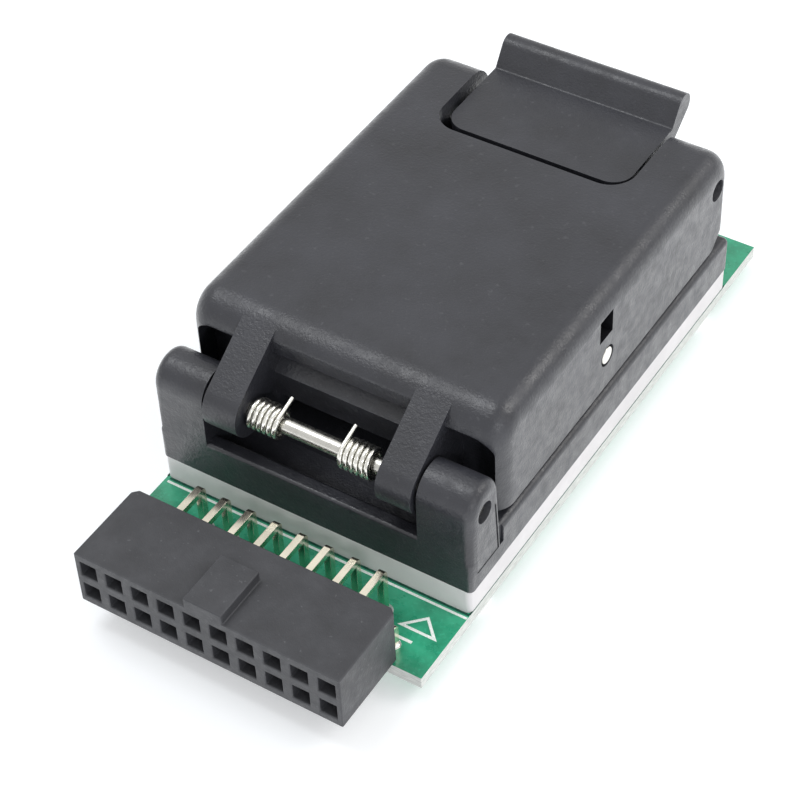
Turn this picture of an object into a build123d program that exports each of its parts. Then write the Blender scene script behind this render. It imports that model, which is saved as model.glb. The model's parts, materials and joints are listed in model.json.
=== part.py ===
from build123d import *
from math import cos, radians, sin
import os

os.makedirs("parts", exist_ok=True)

# Clamshell test socket for a ball-grid memory chip, on a small board with a right-angle pin header.
# Millimetres. X runs across the socket, Y from the pin header to the latch, Z up.
# The origin lies on the table, under the middle of the footprint.

# Circuit board and the height at which it stands on its screw heads and pin tails
board_inset = 0.15
board_back_margin = 6.35
board_thickness = 1.2
stand_height = 1.3

# Right-angle female pin header
pin_pitch = 2.54
header_columns = 10
header_depth = 8.2
header_height = 5.7
header_lift = 0.5
header_overhang = 7.45
header_end_wall = 0.47
pin_socket_size = 1.6
pin_socket_depth = 6.9
key_width = 3.65
key_depth = 5.3
key_height = 1.0
header_corner_cut = 0.5
pin_size = 0.64
pin_bend_round = 0.5
pin_hole_diameter = 1.05
pin_hole_clearance = 0.04
lower_leg_setback = 1.1
fork_length = 4.6
fork_leaf = 0.22
fork_spread = 0.95
empty_upper_columns = 1

# Spacer plate between the board and the socket
spacer_inset = 0.15
spacer_back_step = 0.1
spacer_thickness = 2.6
spacer_corner = 0.5

# Socket base
base_setback = 7.55
base_width = 30.6
base_length = 45.3
base_height = 3.6
base_corner = 0.5
rim_round = 0.6
ear_proud = 0.1
ear_depth = 4.9
ear_taper = 0.6
ear_height = 6.85
ear_panel_height = 1.8
ear_front_round = 2.3
ear_back_round = 1.9
ear_side_round = 0.9
ear_seam_width = 0.14
ear_seam_depth = 0.35
front_lip_thickness = 1.4
front_lip_rise = 0.3
spring_well_length = 3.8
spring_well_floor = 2.0

# Hinge rod and its two torsion springs
hinge_setback = 2.0
hinge_height = 4.37
rod_diameter = 1.5
rod_recess = 0.45
rod_counterbore_diameter = 2.0
rod_counterbore_depth = 1.1
running_clearance = 0.05
torsion_outer = 2.9
torsion_wire = 0.45
torsion_length = 3.15
torsion_whole_turns = 6
torsion_left_gap = 0.2
torsion_right_gap = 1.2
base_leg_angle = -122.6
base_leg_length = 5.4
lid_leg_angle = 106
lid_leg_length = 1.9

# Lid
lid_gap = 0.6
lid_side_step = 0.2
lid_back_step = 0.2
lid_height = 10.1
lid_setback = 5.05
lid_front_round = 3.0
lid_back_round = 2.9
lid_side_round = 2.0
lid_back_bevel = 0.7
arm_inner = 6.7
arm_width = 3.3
arm_side_gap = 0.3
knuckle_diameter = 4.8
arch_outer = 14.3
arch_height = 7.8
arch_depth = 2.6
arch_round = 1.7
brow_setback = 0.45
brow_drop = 2.6
brow_groove_height = 1.0
brow_groove_depth = 1.6
shelf_slope = 1.23
shelf_height = 2.37
shelf_depth = 3.1
side_slot_length = 2.15
side_slot_height = 2.35
side_slot_depth = 3.2
side_slot_rise = 2.35
side_slot_lead = 1.4

# Latch at the back of the lid
latch_recess_width = 19.4
latch_recess_length = 10.5
latch_recess_depth = 3.7
latch_recess_round = 2.5
latch_slot_length = 5.2
latch_side_gap = 0.65
latch_front_gap = 1.35
latch_plate_drop = 0.8
latch_plate_thickness = 1.4
latch_plate_round = 2.0
latch_pin_inset = 2.8
latch_pin_drop = 3.25
latch_pin_diameter = 1.6
latch_boss_diameter = 3.8
latch_arm_width = 13.0
latch_arm_thickness = 1.8
latch_arm_offset = 0.9
latch_hook_reach = 1.3
latch_hook_height = 1.4
latch_hook_gap = 0.1
latch_hook_floor_gap = 0.3
lip_neck_reach = 3.23
lip_head_diameter = 2.24
lip_head_reach = 1.77
lip_head_rise = 1.9
lip_crease_round = 0.25
latch_spring_outer = 2.2
latch_spring_wire = 0.3
latch_spring_turns = 5
latch_spring_spacing = 10.0
latch_spring_inset = 1.25
latch_spring_seat_depth = 2.6
pin_counterbore_diameter = 2.05
pin_counterbore_depth = 0.8
latch_pin_recess = 0.7

# Catch for the latch in the back wall of the base
catch_side_gap = 0.5
catch_ledge_thickness = 1.4
catch_ledge_inset = 2.3
catch_undercut = 1.6

# Contact block, its plungers and the floating chip guide
chip_width = 11.5
chip_length = 13.0
chip_setback = 22.45
contact_pitch = 0.5
contact_rows = 14
contact_rings = 3
plunger_size = 0.24
plunger_clearance = 0.03
plunger_rise = 0.9
plunger_depth = 0.55
plunger_travel = 0.3
plunger_point = 0.12
plunger_point_taper = 40
block_margin = 1.5
block_flange_step_x = 2.25
block_flange_step_y = 3.0
block_fit = 0.1
deck_height = 2.5
guide_wall = 4.0
guide_fit = 0.4
guide_lift = 0.6
guide_floor = 0.8
guide_height = 2.6
guide_window_margin = 0.4
pocket_clearance = 0.1
pocket_lead = 0.6
guide_screw_inset = 2.1
guide_screw_head_diameter = 2.8
guide_screw_head_height = 0.8
guide_screw_shoulder = 1.6
guide_screw_thread = 1.2
guide_screw_thread_length = 1.8
guide_screw_head_drop = 0.3
guide_spring_outer = 2.0
guide_spring_wire = 0.3
guide_spring_turns = 3
guide_spring_spacing = 9.2
guide_spring_pocket = 1.7

# Pressure plate that hangs in the lid on a cross pin
plate_cavity_gap = 0.75
plate_fit = 0.3
plate_lift = 0.7
plate_thickness = 3.9
plate_nose_height = 2.1
plate_nose_gap = 0.45
plate_travel = 0.6
plate_corner = 1.0
cross_pin_diameter = 1.6
cross_pin_height = 3.5
lid_roof = 2.2
plate_spring_outer = 2.4
plate_spring_wire = 0.35
plate_spring_turns = 4
plate_spring_inset = 3.7
plate_spring_pocket = 1.3
spring_pocket_clearance = 0.2

# Screws and dowels that hold the socket to the board
screw_diameter = 2.0
screw_head_diameter = 3.8
screw_length = 6.0
screw_socket_width = 1.3
screw_socket_depth = 0.7
screw_inset_x = 2.3
screw_inset_y = 3.1
screw_clearance = 0.05
dowel_diameter = 1.4
dowel_depth = 2.0
dowel_inset_x = 2.1
dowel_setback = 11.0

# Levels, from the table up
board_bottom = stand_height
board_top = board_bottom + board_thickness
base_bottom = board_top + spacer_thickness
rim_top = base_bottom + base_height
lid_bottom = rim_top + lid_gap
lid_top = lid_bottom + lid_height
hinge_z = rim_top + hinge_height
header_bottom = board_top + header_lift
deck_top = base_bottom + deck_height
guide_bottom = deck_top + guide_lift
guide_top = guide_bottom + guide_height
pocket_floor = guide_bottom + guide_floor
plate_bottom = guide_top + plate_lift
plate_top = plate_bottom + plate_thickness
cavity_roof = lid_top - lid_roof
cross_pin_z = lid_bottom + cross_pin_height
latch_pin_z = lid_top - latch_pin_drop
latch_plate_top = lid_top - latch_plate_drop
latch_plate_bottom = latch_plate_top - latch_plate_thickness

# Widths and lengths that follow from others
board_width = base_width - 2 * board_inset
board_length = base_setback + base_length + board_back_margin
spacer_width = base_width - 2 * spacer_inset
spacer_length = base_length + spacer_back_step
lid_width = base_width - 2 * lid_side_step
arm_outer = arm_inner + arm_width
ear_inner = arm_outer + arm_side_gap
catch_width = latch_arm_width + 2 * catch_side_gap
contact_span = contact_rows * contact_pitch
block_size = contact_span + 2 * block_margin
block_flange_width = block_size + 2 * block_flange_step_x
block_flange_length = block_size + 2 * block_flange_step_y
guide_window = contact_span + 2 * guide_window_margin
guide_size = chip_length + 2 * guide_wall
guide_screw_spacing = guide_size - 2 * guide_screw_inset
plate_cavity_size = guide_size + 2 * plate_cavity_gap
plate_size = plate_cavity_size - 2 * plate_fit
plate_spring_spacing = plate_size - 2 * plate_spring_inset

# Stations along Y, from the header to the latch
header_front = -(header_overhang + board_length) / 2
header_back = header_front + header_depth
board_front = header_front + header_overhang
board_mid = board_front + board_length / 2
base_front = board_front + base_setback
base_mid = base_front + base_length / 2
base_back = base_front + base_length
spacer_mid = base_front + spacer_length / 2
hinge_y = base_front + hinge_setback
ear_back = base_front + ear_depth
lid_front = base_front + lid_setback
lid_back = base_back - lid_back_step
chip_y = base_front + chip_setback
latch_pin_y = lid_back - latch_pin_inset
latch_front = lid_back - latch_recess_length + latch_front_gap
latch_slot_front = lid_back - latch_slot_length
upper_leg_y = header_back + lower_leg_setback + pin_pitch
lower_leg_y = header_back + lower_leg_setback

# Heights of the two header rows
header_mid_z = header_bottom + header_height / 2
upper_row_z = header_mid_z + pin_pitch / 2
lower_row_z = header_mid_z - pin_pitch / 2
header_length = (header_columns - 1) * pin_pitch + pin_socket_size + 2 * header_end_wall
upper_columns = header_columns - 2 * empty_upper_columns

# Places that several pieces share
screw_spots = [
    (side * (base_width / 2 - screw_inset_x), y)
    for side in (-1, 1)
    for y in (base_front + screw_inset_y, base_back - screw_inset_y)
]
dowel_spots = [(side * (base_width / 2 - dowel_inset_x), base_front + dowel_setback) for side in (-1, 1)]
guide_corners = [
    (i * guide_screw_spacing / 2, chip_y + j * guide_screw_spacing / 2) for i in (-1, 1) for j in (-1, 1)
]
guide_spring_spots = [
    (i * guide_screw_spacing / 2, chip_y + j * guide_spring_spacing / 2) for i in (-1, 1) for j in (-1, 1)
]
plate_spring_spots = [
    (i * plate_spring_spacing / 2, chip_y + j * plate_spring_spacing / 2) for i in (-1, 1) for j in (-1, 1)
]
latch_spring_y = latch_front + latch_spring_inset
latch_spring_spots = [(side * latch_spring_spacing / 2, latch_spring_y) for side in (-1, 1)]

# The chip's ball pattern: square rings round an empty middle
ring_edge = contact_rows - contact_rings
contact_offset = (contact_rows - 1) * contact_pitch / 2
contact_spots = [
    (i * contact_pitch - contact_offset, chip_y + j * contact_pitch - contact_offset)
    for i in range(contact_rows)
    for j in range(contact_rows)
    if not (contact_rings <= i < ring_edge and contact_rings <= j < ring_edge)
]


def coil_spring(outer, wire, length, turns):
    # A compression spring that stands on the XY plane
    rise = length - wire
    with BuildPart() as coil:
        with BuildLine() as path:
            Helix(pitch=rise / turns, height=rise, radius=(outer - wire) / 2, center=(0, 0, wire / 2))
        with BuildSketch(Plane(origin=path.line @ 0, z_dir=path.line % 0)):
            Circle(wire / 2)
        sweep(path=path.line, is_frenet=True)
    return coil.part


def torsion_spring(left_handed):
    # Wound about Z from z = 0 up, with a straight level leg off each end: the base's first, the lid's last
    turns = torsion_whole_turns - (lid_leg_angle - base_leg_angle) / 360
    pitch = (torsion_length - torsion_wire) / turns
    radius = (torsion_outer - torsion_wire) / 2
    with BuildPart() as coil:
        with BuildLine() as path:
            Helix(pitch=pitch, height=pitch * turns, radius=radius, lefthand=left_handed)
        winding = path.line
        first_way = winding % 0
        last_way = winding % 1
        with BuildSketch(Plane(origin=winding @ 0, z_dir=winding % 0)):
            Circle(torsion_wire / 2)
        sweep(path=winding, is_frenet=True)
        with BuildSketch(Plane(origin=winding @ 0, z_dir=(-first_way.X, -first_way.Y, 0))):
            Circle(torsion_wire / 2)
        extrude(amount=base_leg_length)
        with BuildSketch(Plane(origin=winding @ 1, z_dir=(last_way.X, last_way.Y, 0))):
            Circle(torsion_wire / 2)
        extrude(amount=lid_leg_length)
    return coil.part


# Circuit board: header holes near its front edge, screw and dowel holes under the socket
with BuildPart() as circuit_board:
    with BuildSketch(Plane.XY.offset(board_bottom)):
        with Locations((0, board_mid)):
            Rectangle(board_width, board_length)
        with Locations((0, upper_leg_y)):
            with GridLocations(pin_pitch, 1, upper_columns, 1):
                Circle(pin_hole_diameter / 2, mode=Mode.SUBTRACT)
        with Locations((0, lower_leg_y)):
            with GridLocations(pin_pitch, 1, header_columns, 1):
                Circle(pin_hole_diameter / 2, mode=Mode.SUBTRACT)
        with Locations(*screw_spots):
            Circle(screw_diameter / 2 + screw_clearance, mode=Mode.SUBTRACT)
        with Locations(*dowel_spots):
            Circle(dowel_diameter / 2 + screw_clearance, mode=Mode.SUBTRACT)
    extrude(amount=board_thickness)
circuit_board.part.label = "circuit_board"
export_step(circuit_board.part, "parts/circuit_board.step")

# Header housing: a keyed block with two rows of pin sockets, each with a slot for its tail behind
with BuildPart() as header_housing:
    with BuildSketch(Plane.XY.offset(header_bottom)):
        with Locations((0, header_front + header_depth / 2)):
            Rectangle(header_length, header_depth)
    extrude(amount=header_height)
    chamfer(header_housing.edges().filter_by(Axis.Z).group_by(Axis.Y)[-1], header_corner_cut)
    with BuildSketch(Plane.XY.offset(header_bottom + header_height)):
        with Locations((0, header_front + key_depth / 2)):
            Rectangle(key_width, key_depth)
    extrude(amount=key_height)
    for row_z, row_columns in ((upper_row_z, upper_columns), (lower_row_z, header_columns)):
        with BuildSketch(Plane.XZ.offset(-header_front)):
            with Locations((0, row_z)):
                with GridLocations(pin_pitch, 1, header_columns, 1):
                    Rectangle(pin_socket_size, pin_socket_size)
        extrude(amount=-pin_socket_depth, mode=Mode.SUBTRACT)
        with BuildSketch(Plane.XZ.offset(-header_back)):
            with Locations((0, row_z)):
                with GridLocations(pin_pitch, 1, row_columns, 1):
                    Rectangle(pin_size + 2 * pin_hole_clearance, pin_size + 2 * pin_hole_clearance)
        extrude(amount=header_depth - pin_socket_depth, mode=Mode.SUBTRACT)
header_housing.part.label = "header_housing"
export_step(header_housing.part, "parts/header_housing.step")


def header_contact(row_z, leg_y):
    # One contact seen from the side: a fork for the mating pin, a tail, and a leg down through the board
    fork_back = header_front + pin_socket_depth - pin_hole_clearance
    with BuildPart() as contact:
        with BuildSketch(Plane.YZ) as outline:
            with BuildLine():
                Polyline(
                    (fork_back - pin_size, row_z - pin_size / 2),
                    (leg_y - pin_size / 2, row_z - pin_size / 2),
                    (leg_y - pin_size / 2, 0),
                    (leg_y + pin_size / 2, 0),
                    (leg_y + pin_size / 2, row_z + pin_size / 2),
                    (fork_back - pin_size, row_z + pin_size / 2),
                    close=True,
                )
            make_face()
            fillet(outline.vertices().group_by(Axis.Y)[-1].sort_by(Axis.X)[-1], pin_bend_round)
            with Locations((fork_back - pin_size / 2, row_z)):
                Rectangle(pin_size, fork_spread + 2 * fork_leaf)
            for side in (-1, 1):
                with Locations((fork_back - fork_length / 2, row_z + side * (fork_spread + fork_leaf) / 2)):
                    Rectangle(fork_length, fork_leaf)
        extrude(amount=pin_size / 2, both=True)
    return contact.part


# Header contacts, one group for each row
with BuildPart() as header_contacts_upper:
    with GridLocations(pin_pitch, 1, upper_columns, 1):
        add(header_contact(upper_row_z, upper_leg_y))
header_contacts_upper.part.label = "header_contacts_upper"
export_step(header_contacts_upper.part, "parts/header_contacts_upper.step")

with BuildPart() as header_contacts_lower:
    with GridLocations(pin_pitch, 1, header_columns, 1):
        add(header_contact(lower_row_z, lower_leg_y))
header_contacts_lower.part.label = "header_contacts_lower"
export_step(header_contacts_lower.part, "parts/header_contacts_lower.step")

# Spacer plate: a window round the contact block's flange, and the same screw and dowel holes
with BuildPart() as spacer_plate:
    with BuildSketch(Plane.XY.offset(board_top)):
        with Locations((0, spacer_mid)):
            RectangleRounded(spacer_width, spacer_length, spacer_corner)
        with Locations((0, chip_y)):
            Rectangle(
                block_flange_width + 2 * block_fit, block_flange_length + 2 * block_fit, mode=Mode.SUBTRACT
            )
        with Locations(*screw_spots):
            Circle(screw_diameter / 2 + screw_clearance, mode=Mode.SUBTRACT)
        with Locations(*dowel_spots):
            Circle(dowel_diameter / 2 + screw_clearance, mode=Mode.SUBTRACT)
    extrude(amount=spacer_thickness)
spacer_plate.part.label = "spacer_plate"
export_step(spacer_plate.part, "parts/spacer_plate.step")

# One hinge ear, on the right: a tapered block with a rounded crown, a little proud of the base's side
ear_outer = base_width / 2 + ear_proud
with BuildPart() as ear:
    with BuildSketch(Plane.YZ.offset(ear_inner)) as ear_outline:
        with BuildLine():
            Polyline(
                (base_front, base_bottom + ear_panel_height),
                (base_front, rim_top + ear_height),
                (ear_back - ear_taper, rim_top + ear_height),
                (ear_back, base_bottom + ear_panel_height),
                close=True,
            )
        make_face()
        fillet(ear_outline.vertices().group_by(Axis.Y)[-1].sort_by(Axis.X)[0], ear_front_round)
        fillet(ear_outline.vertices().group_by(Axis.Y)[-1].sort_by(Axis.X)[-1], ear_back_round)
    extrude(amount=ear_outer - ear_inner)
    front_edges = ear.faces().sort_by(Axis.X)[-1].edges().filter_by(Axis.Z)
    fillet(front_edges.sort_by(Axis.Y)[0], ear_side_round)

# Socket base
catch_ledge_y = base_back - catch_ledge_inset
catch_ledge_bottom = rim_top - catch_ledge_thickness
front_lip_height = front_lip_rise + rim_round
with BuildPart() as base_housing:
    with BuildSketch(Plane.XY.offset(base_bottom)):
        with Locations((0, base_mid)):
            RectangleRounded(base_width, base_length, base_corner)
    extrude(amount=base_height)
    fillet(base_housing.edges().group_by(Axis.Z)[-1], rim_round)

    # Seam round the foot of each ear, cut before the ear closes most of it
    for side in (-1, 1):
        with BuildSketch(Plane.YZ.offset(side * ear_outer)):
            with BuildLine():
                Polyline(
                    (base_front + ear_side_round, base_bottom + ear_panel_height - ear_seam_width),
                    (base_front + ear_side_round, rim_top),
                    (ear_back + ear_seam_width, rim_top),
                    (ear_back + ear_seam_width, base_bottom + ear_panel_height - ear_seam_width),
                    close=True,
                )
            make_face()
        extrude(amount=-side * ear_seam_depth, mode=Mode.SUBTRACT)
    add(ear.part)
    add(mirror(ear.part, about=Plane.YZ, mode=Mode.PRIVATE))

    # Front lip between the ears, with a rounded top
    with BuildSketch(Plane.YZ) as lip_outline:
        with Locations((base_front + front_lip_thickness / 2, rim_top - rim_round + front_lip_height / 2)):
            Rectangle(front_lip_thickness, front_lip_height)
        fillet(lip_outline.vertices().group_by(Axis.Y)[-1], front_lip_rise)
    extrude(amount=ear_inner, both=True)

    # Well behind the lip, under the rod and springs
    with BuildSketch(Plane.XY.offset(base_bottom + spring_well_floor)):
        with Locations((0, base_front + front_lip_thickness + spring_well_length / 2)):
            Rectangle(2 * ear_inner, spring_well_length)
    extrude(amount=base_height, mode=Mode.SUBTRACT)

    # Bores for the hinge rod, countersunk flat at the outside
    with BuildSketch(Plane.YZ):
        with Locations((hinge_y, hinge_z)):
            Circle(rod_diameter / 2 + running_clearance)
    extrude(amount=ear_outer, both=True, mode=Mode.SUBTRACT)
    for side in (-1, 1):
        with BuildSketch(Plane.YZ.offset(side * ear_outer)):
            with Locations((hinge_y, hinge_z)):
                Circle(rod_counterbore_diameter / 2)
        extrude(amount=-side * rod_counterbore_depth, mode=Mode.SUBTRACT)

    # Recess for the floating guide, and the window for the contact block
    with BuildSketch(Plane.XY.offset(deck_top)):
        with Locations((0, chip_y)):
            Rectangle(guide_size + 2 * guide_fit, guide_size + 2 * guide_fit)
    extrude(amount=base_height, mode=Mode.SUBTRACT)
    with BuildSketch(Plane.XY.offset(base_bottom)):
        with Locations((0, chip_y)):
            Rectangle(block_size + 2 * block_fit, block_size + 2 * block_fit)
    extrude(amount=base_height, mode=Mode.SUBTRACT)

    # Spring pockets and blind screw holes in the deck
    with BuildSketch(Plane.XY.offset(deck_top)):
        with Locations(*guide_spring_spots):
            Circle(guide_spring_outer / 2 + spring_pocket_clearance)
    extrude(amount=-guide_spring_pocket, mode=Mode.SUBTRACT)
    with BuildSketch(Plane.XY.offset(deck_top)):
        with Locations(*guide_corners):
            Circle(guide_screw_thread / 2 + screw_clearance)
    extrude(amount=-guide_screw_thread_length - screw_clearance, mode=Mode.SUBTRACT)

    # Blind holes for the board screws and dowels, from below
    with BuildSketch(Plane.XY.offset(base_bottom)):
        with Locations(*screw_spots):
            Circle(screw_diameter / 2 + screw_clearance)
    extrude(
        amount=screw_length - board_thickness - spacer_thickness + screw_clearance, mode=Mode.SUBTRACT
    )
    with BuildSketch(Plane.XY.offset(base_bottom)):
        with Locations(*dowel_spots):
            Circle(dowel_diameter / 2 + screw_clearance)
    extrude(amount=dowel_depth + screw_clearance, mode=Mode.SUBTRACT)

    # Catch: a notch in the back wall with an undercut below its ledge
    with BuildSketch(Plane.YZ):
        with BuildLine():
            Polyline(
                (base_back, rim_top),
                (catch_ledge_y, rim_top),
                (catch_ledge_y, catch_ledge_bottom),
                (catch_ledge_y - catch_undercut, catch_ledge_bottom),
                (catch_ledge_y - catch_undercut, base_bottom),
                (base_back, base_bottom),
                close=True,
            )
        make_face()
    extrude(amount=catch_width / 2, both=True, mode=Mode.SUBTRACT)
base_housing.part.label = "base_housing"
export_step(base_housing.part, "parts/base_housing.step")

# Board screws: pan heads under the board, with a hexagon socket
with BuildPart() as socket_screws:
    with BuildSketch():
        with Locations(*screw_spots):
            Circle(screw_head_diameter / 2)
    extrude(amount=stand_height)
    with BuildSketch(Plane.XY.offset(board_bottom)):
        with Locations(*screw_spots):
            Circle(screw_diameter / 2)
    extrude(amount=screw_length)
    with BuildSketch():
        with Locations(*screw_spots):
            RegularPolygon(screw_socket_width / 2, 6)
    extrude(amount=screw_socket_depth, mode=Mode.SUBTRACT)
socket_screws.part.label = "socket_screws"
export_step(socket_screws.part, "parts/socket_screws.step")

# Dowels that line the socket up with the board
with BuildPart() as locating_dowels:
    with BuildSketch(Plane.XY.offset(board_bottom)):
        with Locations(*dowel_spots):
            Circle(dowel_diameter / 2)
    extrude(amount=board_thickness + spacer_thickness + dowel_depth)
locating_dowels.part.label = "locating_dowels"
export_step(locating_dowels.part, "parts/locating_dowels.step")

# Contact block: flange on the board, body through the base, and a blind barrel mouth for each plunger
barrel_depth = plunger_depth + plunger_travel + plunger_clearance
with BuildPart() as contact_block:
    with BuildSketch(Plane.XY.offset(board_top)):
        with Locations((0, chip_y)):
            Rectangle(block_flange_width, block_flange_length)
    extrude(amount=spacer_thickness)
    with BuildSketch(Plane.XY.offset(base_bottom)):
        with Locations((0, chip_y)):
            Rectangle(block_size, block_size)
    extrude(amount=deck_height)
    with BuildSketch(Plane.XY.offset(deck_top)):
        with Locations(*contact_spots):
            Rectangle(plunger_size + 2 * plunger_clearance, plunger_size + 2 * plunger_clearance)
    extrude(amount=-barrel_depth, mode=Mode.SUBTRACT)
contact_block.part.label = "contact_block"
export_step(contact_block.part, "parts/contact_block.step")

# Contact plungers, each with a pointed tip
with BuildPart() as plunger:
    with BuildSketch():
        Rectangle(plunger_size, plunger_size)
    extrude(amount=plunger_depth + plunger_rise - plunger_point)
    with BuildSketch(plunger.faces().sort_by(Axis.Z)[-1]):
        Rectangle(plunger_size, plunger_size)
    extrude(amount=plunger_point, taper=plunger_point_taper)
with BuildPart() as contact_plungers:
    with Locations(*[(x, y, deck_top - plunger_depth) for x, y in contact_spots]):
        add(plunger.part)
contact_plungers.part.label = "contact_plungers"
export_step(contact_plungers.part, "parts/contact_plungers.step")

# Chip guide: a floating frame with a pocket for the chip and a window over the contacts
pocket_width = chip_width + 2 * pocket_clearance
pocket_length = chip_length + 2 * pocket_clearance
guide_screw_seat = guide_top - guide_screw_head_drop - guide_screw_head_height
with BuildPart() as chip_guide:
    with BuildSketch(Plane.XY.offset(guide_bottom)):
        with Locations((0, chip_y)):
            RectangleRounded(guide_size, guide_size, plate_corner)
            Rectangle(guide_window, guide_window, mode=Mode.SUBTRACT)
    extrude(amount=guide_height)
    with BuildSketch(Plane.XY.offset(pocket_floor)):
        with Locations((0, chip_y)):
            Rectangle(pocket_width, pocket_length)
    extrude(amount=guide_height, mode=Mode.SUBTRACT)
    mouth = chip_guide.faces().sort_by(Axis.Z)[-1].inner_wires()[0]
    chamfer(mouth.edges(), pocket_lead)
    with BuildSketch(Plane.XY.offset(guide_bottom)):
        with Locations(*guide_corners):
            Circle(guide_screw_shoulder / 2 + running_clearance)
    extrude(amount=guide_height, mode=Mode.SUBTRACT)
    with BuildSketch(Plane.XY.offset(guide_screw_seat)):
        with Locations(*guide_corners):
            Circle(guide_screw_head_diameter / 2 + spring_pocket_clearance)
    extrude(amount=guide_height, mode=Mode.SUBTRACT)
chip_guide.part.label = "chip_guide"
export_step(chip_guide.part, "parts/chip_guide.step")

# Shoulder screws that keep the guide on its springs
with BuildPart() as guide_screws:
    with BuildSketch(Plane.XY.offset(deck_top - guide_screw_thread_length)):
        with Locations(*guide_corners):
            Circle(guide_screw_thread / 2)
    extrude(amount=guide_screw_thread_length)
    with BuildSketch(Plane.XY.offset(deck_top)):
        with Locations(*guide_corners):
            Circle(guide_screw_shoulder / 2)
    extrude(amount=guide_screw_seat - deck_top)
    with BuildSketch(Plane.XY.offset(guide_screw_seat)):
        with Locations(*guide_corners):
            Circle(guide_screw_head_diameter / 2)
    extrude(amount=guide_screw_head_height)
guide_screws.part.label = "guide_screws"
export_step(guide_screws.part, "parts/guide_screws.step")

with BuildPart() as guide_springs:
    guide_spring_seat = deck_top - guide_spring_pocket
    for x, y in guide_spring_spots:
        with Locations((x, y, guide_spring_seat)):
            add(
                coil_spring(
                    guide_spring_outer,
                    guide_spring_wire,
                    guide_bottom - guide_spring_seat,
                    guide_spring_turns,
                )
            )
guide_springs.part.label = "guide_springs"
export_step(guide_springs.part, "parts/guide_springs.step")

# Hinge rod, a little short of the ears' outer faces
with BuildPart() as hinge_rod:
    with BuildSketch(Plane.YZ):
        with Locations((hinge_y, hinge_z)):
            Circle(rod_diameter / 2)
    extrude(amount=ear_outer - rod_recess, both=True)
hinge_rod.part.label = "hinge_rod"
export_step(hinge_rod.part, "parts/hinge_rod.step")

# Torsion springs: each starts at its outer end, where the base's leg leaves the coil
base_leg_direction = (0, cos(radians(base_leg_angle)), sin(radians(base_leg_angle)))
for side, arm_gap, name in (
    (-1, torsion_left_gap, "torsion_spring_left"),
    (1, torsion_right_gap, "torsion_spring_right"),
):
    outer_end = (side * (arm_inner - arm_gap - torsion_wire / 2), hinge_y, hinge_z)
    stand = Plane(origin=outer_end, x_dir=base_leg_direction, z_dir=(-side, 0, 0))
    spring = torsion_spring(left_handed=side < 0).moved(stand.location)
    spring.label = name
    export_step(spring, f"parts/{name}.step")

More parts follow.
